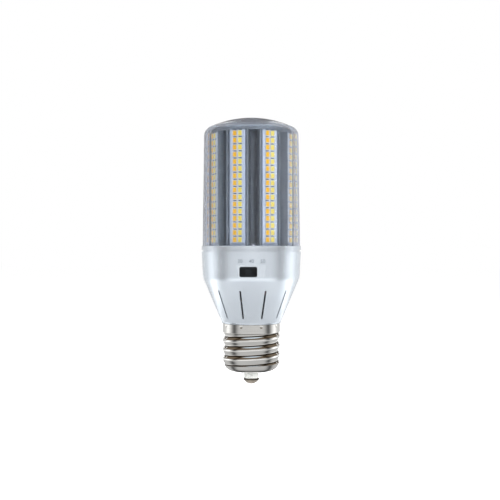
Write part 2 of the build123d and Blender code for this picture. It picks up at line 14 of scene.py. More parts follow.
import bmesh
import bpy
import numpy as np
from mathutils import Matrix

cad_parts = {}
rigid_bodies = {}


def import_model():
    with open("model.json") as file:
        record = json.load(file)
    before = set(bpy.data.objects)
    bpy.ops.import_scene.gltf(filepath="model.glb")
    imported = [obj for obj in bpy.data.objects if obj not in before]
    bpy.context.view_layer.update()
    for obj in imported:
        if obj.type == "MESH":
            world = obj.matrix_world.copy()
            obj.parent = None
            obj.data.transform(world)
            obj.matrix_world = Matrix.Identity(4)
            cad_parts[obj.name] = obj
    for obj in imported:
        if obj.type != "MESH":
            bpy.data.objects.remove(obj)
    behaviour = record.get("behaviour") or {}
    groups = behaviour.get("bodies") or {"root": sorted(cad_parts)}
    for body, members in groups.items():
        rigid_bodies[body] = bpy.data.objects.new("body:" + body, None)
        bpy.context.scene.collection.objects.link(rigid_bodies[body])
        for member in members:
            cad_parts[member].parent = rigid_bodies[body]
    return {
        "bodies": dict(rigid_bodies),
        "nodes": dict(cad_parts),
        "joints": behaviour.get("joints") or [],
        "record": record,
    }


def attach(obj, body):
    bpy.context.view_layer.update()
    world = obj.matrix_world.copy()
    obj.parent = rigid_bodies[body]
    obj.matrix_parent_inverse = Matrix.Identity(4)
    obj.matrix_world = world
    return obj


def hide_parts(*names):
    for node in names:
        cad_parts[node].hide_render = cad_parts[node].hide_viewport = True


MM = 0.001
BODY = "lamp_body"
LOG = logging.getLogger("post_top_lamp")


def linear(hex_code: str, alpha: float = 1.0) -> tuple[float, float, float, float]:
    """Turn an sRGB hex value into linear light.

    Args:
        hex_code: six hex digits, red first.
        alpha: the fourth channel.

    Returns:
        Red, green, blue and alpha in linear light.
    """
    channels = np.array([int(hex_code[i : i + 2], 16) for i in (0, 2, 4)]) / 255
    curve = ((channels + 0.055) / 1.055) ** 2.4
    red, green, blue = np.where(channels <= 0.04045, channels / 12.92, curve)
    return float(red), float(green), float(blue), alpha


def add_node(
    tree: bpy.types.NodeTree,
    kind: str,
    settings: dict[object, object] | None = None,
    links: dict[object, bpy.types.NodeSocket] | None = None,
) -> bpy.types.Node:
    """Add one node with its settings and its incoming links.

    Args:
        tree: the tree that gets the node.
        kind: the node's type name.
        settings: values by property name, or by socket name or number.
        links: outgoing sockets by the name or number of the input they feed.

    Returns:
        The new node.
    """
    node = tree.nodes.new(kind)
    for key, value in (settings or {}).items():
        if isinstance(key, str) and hasattr(node, key):
            setattr(node, key, value)
        else:
            node.inputs[key].default_value = value
    for key, socket in (links or {}).items():
        tree.links.new(socket, node.inputs[key])
    return node


def new_tree(owner: bpy.types.Material | bpy.types.World) -> bpy.types.NodeTree:
    """Give a material or the world an empty node tree.

    Args:
        owner: the material or world.

    Returns:
        The tree.
    """
    owner.use_nodes = True
    owner.node_tree.nodes.clear()
    return owner.node_tree


def put(name: str, data: bpy.types.ID) -> bpy.types.Object:
    """Make an object of some data and put it in the scene.

    Args:
        name: the object's name.
        data: a mesh, curve, lamp or camera.

    Returns:
        The new object.
    """
    made = bpy.data.objects.new(name, data)
    bpy.context.scene.collection.objects.link(made)
    return made


class Grain(Enum):
    """How a surface was made, as the stretch of its pattern along X, Y and Z."""

    MOULDED = (1.0, 1.0, 1.0)
    EXTRUDED = (1.0, 1.0, 0.02)
    TURNED = (0.02, 0.02, 1.0)
    WOVEN = (1.0, 0.25, 1.0)


@dataclass(frozen=True)
class EdgeThickeningAndReflection:
    """How a clear wall thickens, and takes on a faint painted grey reflection, as it turns away
    from the eye.

    The shares run over the square of Layer Weight's Facing, which is 0 face on and 1 edge on.
    """

    colour: str
    thick_from: float = 0.24
    thick_least: float = 0.1
    # The painted grey reflection's share: where it starts, where it is full, and its greatest
    # value
    reflection_from: float = 0.2
    reflection_to: float = 0.7
    reflection_most: float = 0.3
    ripple_mm: float = 0.6
    ripple_share: float = 0.5


@dataclass(frozen=True)
class Finish:
    """A real material and how its surface was made.

    The grain is drawn by a noise at its real size, which tints the colour, moves the roughness
    and raises the surface. A second, broad noise gives the slow change of a real moulding.
    """

    name: str
    colour: str
    tint: str
    roughness: float
    grain: Grain = Grain.MOULDED
    grain_mm: float = 0.6
    broad_mm: float = 18.0
    relief_mm: float = 0.01
    roughness_spread: float = 0.06
    metallic: float = 0.0
    coat: float = 0.0
    transmission: float = 0.0
    ior: float = 1.5
    # A clear wall's thickening and its painted grey reflection towards the edges
    edge_thickening_and_reflection: EdgeThickeningAndReflection | None = None
    # The colour of painted shade, laid on where a mesh carries the point attribute of that name
    painted_root_shade: str = ""
    noise_low: float = 0.15
    noise_high: float = 0.38
    coat_roughness: float = 0.12

    def material(self) -> bpy.types.Material:
        """Build the node material."""
        made = bpy.data.materials.new(self.name)
        tree = new_tree(made)
        place = add_node(tree, "ShaderNodeTexCoord")
        stretch = add_node(
            tree,
            "ShaderNodeMapping",
            {"Scale": self.grain.value},
            {"Vector": place.outputs["Object"]},
        )
        fine = add_node(
            tree,
            "ShaderNodeTexNoise",
            {"Scale": 1 / (self.grain_mm * MM), "Detail": 3.0, "Roughness": 0.6},
            {"Vector": stretch.outputs[0]},
        )
        broad = add_node(
            tree,
            "ShaderNodeTexNoise",
            {"Scale": 1 / (self.broad_mm * MM), "Detail": 2.0},
            {"Vector": place.outputs["Object"]},
        )
        both = add_node(
            tree,
            "ShaderNodeMath",
            {"operation": "MULTIPLY"},
            {0: fine.outputs[0], 1: broad.outputs[0]},
        )
        amount = add_node(
            tree,
            "ShaderNodeMapRange",
            {"From Min": self.noise_low, "From Max": self.noise_high},
            {"Value": both.outputs[0]},
        )
        colour = add_node(
            tree,
            "ShaderNodeMix",
            {"data_type": "RGBA", 6: linear(self.colour), 7: linear(self.tint)},
            {0: amount.outputs[0]},
        )
        paint = colour.outputs[2]
        # Painted shade: the point attribute mixes the shade's colour into the paint
        if self.painted_root_shade:
            root_shade_attribute = add_node(tree, "ShaderNodeAttribute", {"attribute_name": "painted_root_shade"})
            paint = add_node(
                tree,
                "ShaderNodeMix",
                {"data_type": "RGBA", 7: linear(self.painted_root_shade)},
                {0: root_shade_attribute.outputs["Fac"], 6: paint},
            ).outputs[2]
        rough = add_node(
            tree,
            "ShaderNodeMapRange",
            {
                "To Min": max(self.roughness - self.roughness_spread, 0.0),
                "To Max": self.roughness + self.roughness_spread,
            },
            {"Value": fine.outputs[0]},
        )
        bump = add_node(
            tree,
            "ShaderNodeBump",
            {"Strength": 1.0, "Distance": self.relief_mm * MM},
            {"Height": fine.outputs[0]},
        )
        shader = add_node(
            tree,
            "ShaderNodeBsdfPrincipled",
            {
                "Metallic": self.metallic,
                "Coat Weight": self.coat,
                "Coat Roughness": self.coat_roughness,
                "Transmission Weight": self.transmission,
                "IOR": self.ior,
            },
            {
                "Base Color": paint,
                "Roughness": rough.outputs[0],
                "Normal": bump.outputs[0],
            },
        )
        surface = shader.outputs["BSDF"]
        if self.edge_thickening_and_reflection:
            surface = self.thickened_with_reflection(tree, surface)
        add_node(tree, "ShaderNodeOutputMaterial", links={"Surface": surface})
        return made

    def thickened_with_reflection(
        self, tree: bpy.types.NodeTree, surface: bpy.types.NodeSocket
    ) -> bpy.types.NodeSocket:
        """Thin a clear wall where it faces the eye, and give it a painted grey reflection where it
        turns away.

        Args:
            tree: the material's tree.
            surface: the solid wall's shader.

        Returns:
            The shader of the whole.
        """
        edge_thickening_and_reflection = self.edge_thickening_and_reflection
        edge = add_node(tree, "ShaderNodeLayerWeight", {"Blend": 0.5})
        curve = add_node(
            tree,
            "ShaderNodeMath",
            {"operation": "POWER", 1: 2.0},
            {0: edge.outputs["Facing"]},
        )
        thick = add_node(
            tree,
            "ShaderNodeMapRange",
            {"From Min": edge_thickening_and_reflection.thick_from, "To Min": edge_thickening_and_reflection.thick_least},
            {"Value": curve.outputs[0]},
        )
        clear = add_node(tree, "ShaderNodeBsdfTransparent", {"Color": linear(self.colour)})
        flow = add_node(
            tree,
            "ShaderNodeTexNoise",
            {"Scale": 1 / (edge_thickening_and_reflection.ripple_share * self.grain_mm * MM), "Detail": 2.0},
            {"Vector": add_node(tree, "ShaderNodeTexCoord").outputs["Object"]},
        )
        ripple = add_node(
            tree,
            "ShaderNodeBump",
            {"Strength": 1.0, "Distance": edge_thickening_and_reflection.ripple_mm * MM},
            {"Height": flow.outputs[0]},
        )
        gloss = add_node(
            tree,
            "ShaderNodeBsdfGlossy",
            {"Roughness": self.roughness},
            {"Normal": ripple.outputs[0]},
        )
        mirror = add_node(
            tree, "ShaderNodeFresnel", {"IOR": self.ior}, {"Normal": ripple.outputs[0]}
        )
        side = add_node(tree, "ShaderNodeNewGeometry")
        front = add_node(
            tree,
            "ShaderNodeMapRange",
            {"To Min": 1.0, "To Max": 0.0},
            {"Value": side.outputs["Backfacing"]},
        )
        sheen = add_node(
            tree,
            "ShaderNodeMath",
            {"operation": "MULTIPLY"},
            {0: mirror.outputs[0], 1: front.outputs[0]},
        )
        thin = add_node(
            tree,
            "ShaderNodeMixShader",
            {},
            {0: sheen.outputs[0], 1: clear.outputs[0], 2: gloss.outputs[0]},
        )
        wall = add_node(
            tree,
            "ShaderNodeMixShader",
            {},
            {0: thick.outputs[0], 1: thin.outputs[0], 2: surface},
        )
        share = add_node(
            tree,
            "ShaderNodeMapRange",
            {
                "From Min": edge_thickening_and_reflection.reflection_from,
                "From Max": edge_thickening_and_reflection.reflection_to,
                "To Max": edge_thickening_and_reflection.reflection_most,
            },
            {"Value": curve.outputs[0]},
        )
        # Painted reflection: a grey diffuse that stands in for the dim room the wall reflects near
        # its edges
        painted_edge_reflection = add_node(tree, "ShaderNodeBsdfDiffuse", {"Color": linear(edge_thickening_and_reflection.colour)})
        return add_node(
            tree,
            "ShaderNodeMixShader",
            {},
            {0: share.outputs[0], 1: wall.outputs[0], 2: painted_edge_reflection.outputs[0]},
        ).outputs[0]


class Palette:
    """The lamp's finishes, each made into a material once."""

    FINISHES = (
        # Rolled brass under bright nickel: a warm grey mirror with faint rolling marks round it,
        # and painted shade in a narrow band under each thread root
        Finish(
            "nickel_plated_rolled_brass", "E2E1DE", "D8D7D4", 0.08, Grain.TURNED, 0.5,
            relief_mm=0.003, roughness_spread=0.03, metallic=1.0, painted_root_shade="2E2A28",
        ),
        # Polycarbonate full of pearl flakes from a satin mould: pale, cool, and as bright in its
        # sheen as a metal paint, which the high metallic gives
        Finish(
            "moulded_pearl_polycarbonate", "D0D8E0", "CAD2DB", 0.24, Grain.MOULDED, 0.4,
            relief_mm=0.0012, roughness_spread=0.03, metallic=0.75, coat=0.2, ior=1.585,
        ),
        # Clear polycarbonate from a polished mould, thicker towards its edges, where a faint
        # painted grey reflection stands in for the dim room seen in the wall. Its flow ripple is
        # drawn as coarse as it needs to show
        Finish(
            "moulded_clear_polycarbonate", "EDEFF3", "E8EBF0", 0.03, Grain.MOULDED, 6.0,
            relief_mm=0.004, roughness_spread=0.01, transmission=1.0, ior=1.585,
            edge_thickening_and_reflection=EdgeThickeningAndReflection("A4A9B4"),
        ),
        # White thermoset: matt and slightly warm
        Finish(
            "moulded_white_thermoset", "D8D9D6", "D0D1CE", 0.42, relief_mm=0.008, coat=0.2,
        ),
        # The button: nickel painted darker and browner than the shell's, as painted shade for the
        # shadow under the lamp that it reflects
        Finish(
            "shaded_contact_nickel", "8F887E", "6C655C", 0.3, Grain.TURNED, 0.6, 3.0,
            relief_mm=0.01, metallic=1.0,
        ),
        # Clear anodised extrusion: grey metal with die lines along its length
        Finish(
            "anodised_extruded_aluminium", "B6BEC4", "A6AFB6", 0.46, Grain.EXTRUDED, 0.35,
            relief_mm=0.01, roughness_spread=0.08, metallic=0.8,
        ),
        # White solder mask on a metal-core board: bluish white with a low sheen
        Finish(
            "white_solder_mask", "D4DCE8", "CBD4E1", 0.5, grain_mm=1.2, relief_mm=0.004,
        ),
        # White reflector cup of a diode: matt and warm
        Finish("reflector_plastic", "E9E8E0", "E0DFD5", 0.35, grain_mm=0.4, relief_mm=0.004),
        # Silicone filled with warm phosphor: amber yellow
        Finish(
            "warm_phosphor_silicone", "FFC62E", "FFB91E", 0.45, grain_mm=0.25,
            relief_mm=0.01,
        ),
        # Silicone filled with cool phosphor: lemon yellow
        Finish(
            "cool_phosphor_silicone", "FFE868", "FCE058", 0.45, grain_mm=0.25,
            relief_mm=0.01,
        ),
        # Tinned copper pad at the foot of a board: pale grey
        Finish(
            "tinned_terminal_pad", "BAC1CE", "AEB6C3", 0.42, grain_mm=0.3, relief_mm=0.006,
            metallic=0.4,
        ),
        # Reflowed tin solder, painted darker and duller than tin: real pads that also carry
        # painted shade for the gaps between the rows of packages
        Finish(
            "shaded_tin_solder", "5E6372", "4E5362", 0.35, grain_mm=0.3, relief_mm=0.01,
            metallic=0.3,
        ),
        # Zinc plated screws and washers: pale metal with turning marks
        Finish(
            "zinc_plated_steel", "E4E5E8", "D0D3D9", 0.36, Grain.TURNED, 0.3,
            relief_mm=0.004, metallic=0.7,
        ),
        # Moulded nylon of the switch and knob: bluish black
        Finish("moulded_black_nylon", "0C151D", "081017", 0.4, grain_mm=0.5, relief_mm=0.01),
        # Woven glass laminate under green mask
        Finish(
            "green_circuit_laminate", "2C5A40", "234A35", 0.4, Grain.WOVEN, 0.9,
            relief_mm=0.01,
        ),
        # Turned brass spacers: yellow metal with fine rings
        Finish(
            "turned_brass", "C8A45A", "B8934A", 0.24, Grain.TURNED, 0.3, relief_mm=0.006,
            metallic=1.0,
        ),
        # Sintered ferrite core, wound tape, sleeves, coatings and cases of the driver's parts
        Finish("sintered_ferrite", "2A2B2E", "222326", 0.55, grain_mm=0.35, relief_mm=0.02),
        Finish("polyester_winding_tape", "D9C24A", "CDB43C", 0.35, Grain.EXTRUDED, 1.0),
        Finish("shrunk_capacitor_sleeve", "20242C", "181B22", 0.25, Grain.EXTRUDED, 2.0),
        Finish("boxed_film_case", "9C3A28", "8C3020", 0.35, grain_mm=0.6),
        Finish("dipped_disc_coating", "2F5A9A", "264C86", 0.25, grain_mm=0.9),
        Finish("moulded_epoxy_black", "1B1B1D", "141416", 0.5, grain_mm=0.3),
        # Extruded lead insulation
        Finish("white_silicone_lead", "DEDCD6", "D2D0C8", 0.4, grain_mm=0.7),
        Finish("red_lead_insulation", "A8261C", "961E16", 0.35, grain_mm=0.7),
        Finish("black_lead_insulation", "1A1A1C", "121214", 0.35, grain_mm=0.7),
        # Grey pad-printed ink
        Finish("grey_printed_ink", "6E767E", "646C75", 0.45, grain_mm=0.3, relief_mm=0.004),
    )

    SLOT_FINISH = {
        "nickel_plated_brass": "nickel_plated_rolled_brass",
        "white_insulator": "moulded_white_thermoset",
        "housing_white": "moulded_pearl_polycarbonate",
        "switch_black": "moulded_black_nylon",
        "knob_black": "moulded_black_nylon",
        "circuit_board": "green_circuit_laminate",
        "spacer_brass": "turned_brass",
        "zinc_steel": "zinc_plated_steel",
        "ferrite": "sintered_ferrite",
        "winding_tape": "polyester_winding_tape",
        "capacitor_sleeve": "shrunk_capacitor_sleeve",
        "film_case": "boxed_film_case",
        "disc_coating": "dipped_disc_coating",
        "chip_black": "moulded_epoxy_black",
        "sink_aluminium": "anodised_extruded_aluminium",
        "clear_cover": "moulded_clear_polycarbonate",
        "lead_white": "white_silicone_lead",
        "lead_red": "red_lead_insulation",
        "lead_black": "black_lead_insulation",
        "board_mask": "white_solder_mask",
        "warm_phosphor": "warm_phosphor_silicone",
        "cool_phosphor": "cool_phosphor_silicone",
    }

    def __init__(self) -> None:
        """Make every finish into a material."""
        self.materials = {finish.name: finish.material() for finish in self.FINISHES}

    def __getitem__(self, name: str) -> bpy.types.Material:
        """The material of a finish, by its name."""
        return self.materials[name]

    def dress_frame(self, frame: dict) -> None:
        """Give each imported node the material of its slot.

        Args:
            frame: the loaded frame.
        """
        for row in frame["record"]["subparts"]:
            node = frame["nodes"][row["node"]]
            finish = self.SLOT_FINISH[row["material_slot"]]
            node.data.materials.clear()
            node.data.materials.append(self[finish])
            LOG.info("frame node %s wears %s", node.name, finish)


def rounded_outline(
    points: list[tuple[float, float]], radii: list[float], steps: int = 6
) -> np.ndarray:
    """An open outline with its inner corners rounded.

    Each corner is cut back by radius times the tangent of half the turn, and points are set at
    even angles on the circle that touches both runs there.

    Args:
        points: the outline's corners in the plane.
        radii: one radius for each inner corner, 0 for a sharp one.
        steps: the number of spans on each arc.

    Returns:
        The outline's points, one row each.
    """
    corners = np.array(points, float)
    runs = [corners[:1]]
    for before, corner, after, radius in zip(corners, corners[1:], corners[2:], radii):
        inward = (corner - before) / np.linalg.norm(corner - before)
        onward = (after - corner) / np.linalg.norm(after - corner)
        cross = inward[0] * onward[1] - inward[1] * onward[0]
        turn = math.atan2(cross, float(inward @ onward))
        if radius <= 0 or abs(turn) < 1e-4:
            runs.append(corner[None])
            continue
        start = corner - inward * radius * math.tan(abs(turn) / 2)
        side = np.array([-inward[1], inward[0]]) * math.copysign(1, turn)
        spin = np.linspace(0, turn, steps + 1)
        spoke = -side
        turned = np.stack(
            [
                spoke[0] * np.cos(spin) - spoke[1] * np.sin(spin),
                spoke[0] * np.sin(spin) + spoke[1] * np.cos(spin),
            ],
            axis=1,
        )
        runs.append(start + side * radius + turned * radius)
    runs.append(corners[-1:])
    return np.concatenate(runs)


def even_outline(outline: np.ndarray, longest: float) -> np.ndarray:
    """The outline with points added so that no span is longer than a given length.

    Args:
        outline: the points, one row each.
        longest: the longest span allowed.

    Returns:
        The denser outline, which keeps every old point.
    """
    spans = np.linalg.norm(np.diff(outline, axis=0), axis=1)
    counts = np.maximum(np.ceil(spans / longest).astype(int), 1)
    run = np.concatenate([[0], np.cumsum(counts)])
    place = np.arange(run[-1] + 1)
    return np.stack([np.interp(place, run, outline[:, axis]) for axis in (0, 1)], axis=1)


def grid_faces(rows: int, columns: int, wrap_rows: bool, wrap_columns: bool) -> np.ndarray:
    """The four-sided faces of a grid of points.

    Args:
        rows: number of rows of points.
        columns: number of points in a row.
        wrap_rows: whether the last row joins the first.
        wrap_columns: whether a row's last point joins its first.

    Returns:
        One row of four point numbers for each face.
    """
    row = np.arange(rows if wrap_rows else rows - 1)[:, None]
    column = np.arange(columns if wrap_columns else columns - 1)[None]
    above = (row + 1) % rows
    beside = (column + 1) % columns
    corners = [
        row * columns + column,
        row * columns + beside,
        above * columns + beside,
        above * columns + column,
    ]
    return np.stack(np.broadcast_arrays(*corners), axis=-1).reshape(-1, 4)


class Piece:
    """A finished piece: a mesh at its place, its materials and its body."""

    @staticmethod
    def make(
        name: str,
        points: np.ndarray,
        faces: np.ndarray,
        materials: list[bpy.types.Material],
        body: str = BODY,
        slot: str | None = None,
        replaces: tuple[str, ...] = (),
        face_material: np.ndarray | None = None,
        crease_deg: float = 40.0,
    ) -> bpy.types.Object:
        """Put points and faces into a mesh object that rides on a body.

        Args:
            name: the piece's name.
            points: coordinates in millimetres, one row each.
            faces: point numbers, four to a face.
            materials: the piece's materials.
            body: the body it moves with.
            slot: not used.
            replaces: the frame's nodes that it stands for.
            face_material: a material number for each face.
            crease_deg: the angle from which an edge stays sharp.

        Returns:
            The new object.
        """
        mesh = bpy.data.meshes.new(name)
        mesh.from_pydata((points * MM).tolist(), [], faces.tolist())
        for material in materials:
            mesh.materials.append(material)
        if face_material is not None:
            mesh.polygons.foreach_set("material_index", face_material.astype(np.int32))
        Piece.close_poles(mesh)
        mesh.shade_smooth()
        mesh.set_sharp_from_angle(angle=math.radians(crease_deg))
        made = put(name, mesh)
        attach(made, body)
        if replaces:
            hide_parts(*replaces)
        LOG.info("piece %s: %d faces", name, len(mesh.polygons))
        return made

    @staticmethod
    def close_poles(mesh: bpy.types.Mesh) -> None:
        """Merge the points that meet at a pole and drop the faces that close up there."""
        work = bmesh.new()
        work.from_mesh(mesh)
        bmesh.ops.remove_doubles(work, verts=work.verts, dist=1e-8)
        work.to_mesh(mesh)
        work.free()


def turned(outline: np.ndarray, segments: int) -> tuple[np.ndarray, np.ndarray]:
    """A closed outline of radius and height, turned once about the axis.

    Point (i, j) is the i-th outline point at angle 2 pi j / segments: its radius times the
    cosine and sine of the angle, at its height.

    Args:
        outline: radius and height, up the outside and down the inside.
        segments: the number of steps round the axis.

    Returns:
        Points and faces.
    """
    angle = np.arange(segments) * 2 * math.pi / segments
    radius = outline[:, :1]
    points = np.stack(
        [
            radius * np.cos(angle),
            radius * np.sin(angle),
            np.broadcast_to(outline[:, 1:], (len(outline), segments)),
        ],
        axis=-1,
    )
    return points.reshape(-1, 3), grid_faces(len(outline), segments, True, True)


@dataclass
class ScrewShell:
    """The rolled screw shell: a helical wave under a plain collar with staking dimples."""

    pitch: float = 6.35
    crest: float = 19.55
    depth: float = 1.2
    flatness: float = 1.5
    first_crest: float = 13.85
    mouth: float = 12.0
    bottom: float = 9.0
    round_top: float = 15.12
    collar: float = 19.6
    collar_bottom: float = 35.6
    collar_top: float = 41.8
    wall: float = 0.6
    dimples: int = 9
    dimple_turn: float = -20.2
    dimple_height: float = 40.4
    dimple_reach: float = 1.0
    dimple_depth: float = 0.2
    # The band of painted shade under each thread root: its drop below the root in phase, its width
    # and its darkness
    root_shade_drop: float = 0.6
    root_shade_reach: float = 0.4
    root_shade_most: float = 0.95
    foot_share: float = 0.62
    foot_rise: float = 0.9
    inner_share: float = 0.6
    inner_rise: float = 2.4
    fade: float = 0.5
    lip: float = 0.3
    longest_span: float = 0.16
    corner_radii: tuple = (0.2, 6.0, 3.0, 0.25)
    segments: int = 288

    def build(self, palette: Palette) -> bpy.types.Object:
        """Build the shell.

        The radius is the crest less the depth times half of one minus the cosine of the phase,
        raised to the flatness, which broadens the crests and narrows the roots. The phase turns
        once for each pitch of height less one for each turn about the axis. The plain collar
        and the round bottom cap it. A point attribute lays painted shade in a narrow band just
        under each root.

        Args:
            palette: the finishes.

        Returns:
            The piece.
        """
        reach = self.collar - self.mouth
        outside = rounded_outline(
            [
                (self.mouth, self.bottom + self.wall),
                (self.mouth, self.bottom),
                (self.mouth + reach * self.foot_share, self.bottom + self.foot_rise),
                (self.collar, self.round_top),
                (self.collar, self.collar_top),
                (self.collar - self.wall, self.collar_top),
            ],
            list(self.corner_radii),
            8,
        )
        outside = even_outline(outside, self.longest_span)
        bore = self.crest - self.depth - self.wall
        inside = np.array(
            [
                (self.collar - self.wall, self.collar_bottom),
                (bore, self.collar_bottom - 0.4),
                (bore, self.round_top),
                (self.mouth + reach * self.inner_share, self.bottom + self.inner_rise),
            ]
        )
        outline = np.concatenate([outside, inside])
        angle = np.arange(self.segments) * 2 * math.pi / self.segments
        radius = np.repeat(outline[:, :1], self.segments, axis=1)
        height = np.repeat(outline[:, 1:], self.segments, axis=1)
        phase = (height - self.first_crest) / self.pitch * 2 * math.pi - angle
        thread = self.crest - self.depth * (0.5 - 0.5 * np.cos(phase)) ** self.flatness
        blend = np.clip((height - self.collar_bottom) / self.fade + 0.5, 0, 1)
        blend = blend * blend * (3 - 2 * blend)
        wound = thread * (1 - blend) + self.collar * blend
        outer_rows = (np.arange(len(outline)) < len(outside))[:, None]
        outer_rows = outer_rows & (height <= self.collar_top - self.lip)
        radius = np.where(outer_rows, np.minimum(radius, wound), radius)
        for number in range(self.dimples):
            centre = math.radians(self.dimple_turn - 90 + number * 360 / self.dimples)
            across = (angle - centre + math.pi) % (2 * math.pi) - math.pi
            gap = np.hypot(across * self.collar, height - self.dimple_height)
            dent = np.clip(1 - (gap / self.dimple_reach) ** 2, 0, 1)
            radius = radius - np.where(outer_rows, self.dimple_depth * dent, 0)
        points = np.stack([radius * np.cos(angle), radius * np.sin(angle), height], axis=-1)
        # Painted shade: a dark band just under each thread root, fading out into the plain collar
        under = (phase - math.pi + self.root_shade_drop + math.pi) % (2 * math.pi) - math.pi
        painted_root_shade = self.root_shade_most * np.exp(-((under / self.root_shade_reach) ** 2)) * (1 - blend)
        made = Piece.make(
            "rolled_screw_shell",
            points.reshape(-1, 3),
            grid_faces(len(outline), self.segments, True, True),
            [palette["nickel_plated_rolled_brass"]],
            slot="nickel_plated_brass",
            replaces=("screw_shell",),
            crease_deg=60,
        )
        layer = made.data.attributes.new("painted_root_shade", "FLOAT", "POINT")
        layer.data.foreach_set("value", painted_root_shade.astype(np.float32).ravel())
        return made


@dataclass
class ContactEnd:
    """The centre contact's domed button and the white insulator that carries it."""

    button: float = 5.3
    dome: float = 6.1
    button_top: float = 3.9
    stem: float = 1.5
    neck: float = 4.9
    neck_top: float = 7.8
    mouth: float = 11.9
    face: float = 9.0
    edge: float = 0.8
    flange: float = 15.7
    flange_rise: float = 2.7
    top: float = 13.8
    play: float = 0.1
    lift: float = 0.02
    segments: int = 96

    def build(self, palette: Palette) -> list[bpy.types.Object]:
        """Build the button and the insulator as turned outlines.

        Args:
            palette: the finishes.

        Returns:
            The two pieces.
        """
        swing = np.linspace(0, math.asin(self.button / self.dome), 20)
        arc = np.stack(
            [self.dome * np.sin(swing), self.dome * (1 - np.cos(swing))], axis=1
        )
        rim = rounded_outline(
            [
                tuple(arc[-1]),
                (self.button, self.button_top),
                (self.stem, self.button_top),
                (self.stem, self.top),
                (0, self.top),
            ],
            [0.3, 0.1, 0.2],
        )
        button = np.concatenate([arc, rim[1:]])
        points, faces = turned(button, self.segments)
        faces = faces[faces.max(axis=1) - faces.min(axis=1) < len(points) - self.segments]
        # The button wears the darker nickel that carries painted shade
        contact = Piece.make(
            "domed_centre_contact", points, faces, [palette["shaded_contact_nickel"]],
            slot="nickel_plated_brass", replaces=("centre_contact",),
        )
        outline = rounded_outline(
            [
                (self.stem + self.play, self.button_top + self.lift),
                (self.neck, self.button_top + self.lift),
                (self.neck, self.neck_top),
                (self.mouth, self.face),
                (self.mouth, self.face + self.edge),
                (self.flange, self.face + self.flange_rise),
                (self.flange, self.top),
                (self.stem + self.play, self.top),
            ],
            [0.35, 0.6, 0.3, 0, 0, 0.3],
        )
        points, faces = turned(outline, self.segments)
        insulator = Piece.make(
            "moulded_contact_insulator", points, faces,
            [palette["moulded_white_thermoset"]],
            slot="white_insulator", replaces=("contact_insulator",),
        )
        return [contact, insulator]


@dataclass
class ClearCover:
    """The clear domed cover: a drafted tube, a round shoulder and a shallow crown."""

    foot: float = 92.2
    radius: float = 33.4
    top_radius: float = 32.3
    wall: float = 1.6
    crown: float = 68.0
    apex: float = 181.6
    shoulder: float = 6.0
    shoulder_run: float = 8.0
    segments: int = 192

    def skin(self, inset: float) -> np.ndarray:
        """One skin's outline from the foot to the apex.

        The crown is a sphere's cap: the height at a radius is the centre's height plus the
        root of the crown's radius squared less that radius squared.

        Args:
            inset: the distance inwards from the outer skin.

        Returns:
            Radius and height, one row each.
        """
        centre = self.apex - self.crown
        crown = self.crown - inset
        side = self.top_radius - inset
        edge = centre + math.sqrt(crown**2 - side**2)
        slope = side / math.sqrt(crown**2 - side**2)
        corner = rounded_outline(
            [
                (self.radius - inset, self.foot),
                (side, edge),
                (side - self.shoulder_run, edge + self.shoulder_run * slope),
            ],
            [self.shoulder - inset * 0.9],
            14,
        )[:-1]
        swing = np.linspace(math.asin(corner[-1, 0] / crown), 0, 30)[1:]
        cap = np.stack([crown * np.sin(swing), centre + crown * np.cos(swing)], axis=1)
        return np.concatenate([even_outline(corner, 3.0), cap])

    def build(self, palette: Palette) -> bpy.types.Object:
        """Build the cover as one turned wall.

        Args:
            palette: the finishes.

        Returns:
            The piece.
        """
        outline = np.concatenate([self.skin(0), self.skin(self.wall)[::-1]])
        points, faces = turned(outline, self.segments)
        return Piece.make(
            "moulded_clear_cover", points, faces, [palette["moulded_clear_polycarbonate"]],
            slot="clear_cover", replaces=("lens_cover",),
        )


def oblong(
    steps: int, half_width: float, half_height: float, across_power: float, along_power: float
) -> tuple[np.ndarray, np.ndarray]:
    """A rounded oblong: half sizes along the angle's signed cosine and sine drawn to powers.

    Args:
        steps: the number of points round it.
        half_width: half its width.
        half_height: half its height.
        across_power: the cosine's power, smaller for a squarer outline.
        along_power: the sine's power.

    Returns:
        The points' places across and along.
    """
    angle = (np.arange(steps) + 0.5) * 2 * math.pi / steps
    across = np.sign(np.cos(angle)) * np.abs(np.cos(angle)) ** across_power
    along = np.sign(np.sin(angle)) * np.abs(np.sin(angle)) ** along_power
    return across * half_width, along * half_height


def ringed(rings: np.ndarray, outline: tuple[np.ndarray, np.ndarray]) -> np.ndarray:
    """Stack an outline in rings, each drawn to its own shares of the width and height.

    Args:
        rings: the shares across and along, and the distance out, one row a ring.
        outline: the points' places across and along.

    Returns:
        Points, one row each.
    """
    across, along = outline
    out = np.repeat(rings[:, 2:], len(across), axis=1)
    return np.stack([rings[:, :1] * across, rings[:, 1:2] * along, out], axis=-1).reshape(-1, 3)


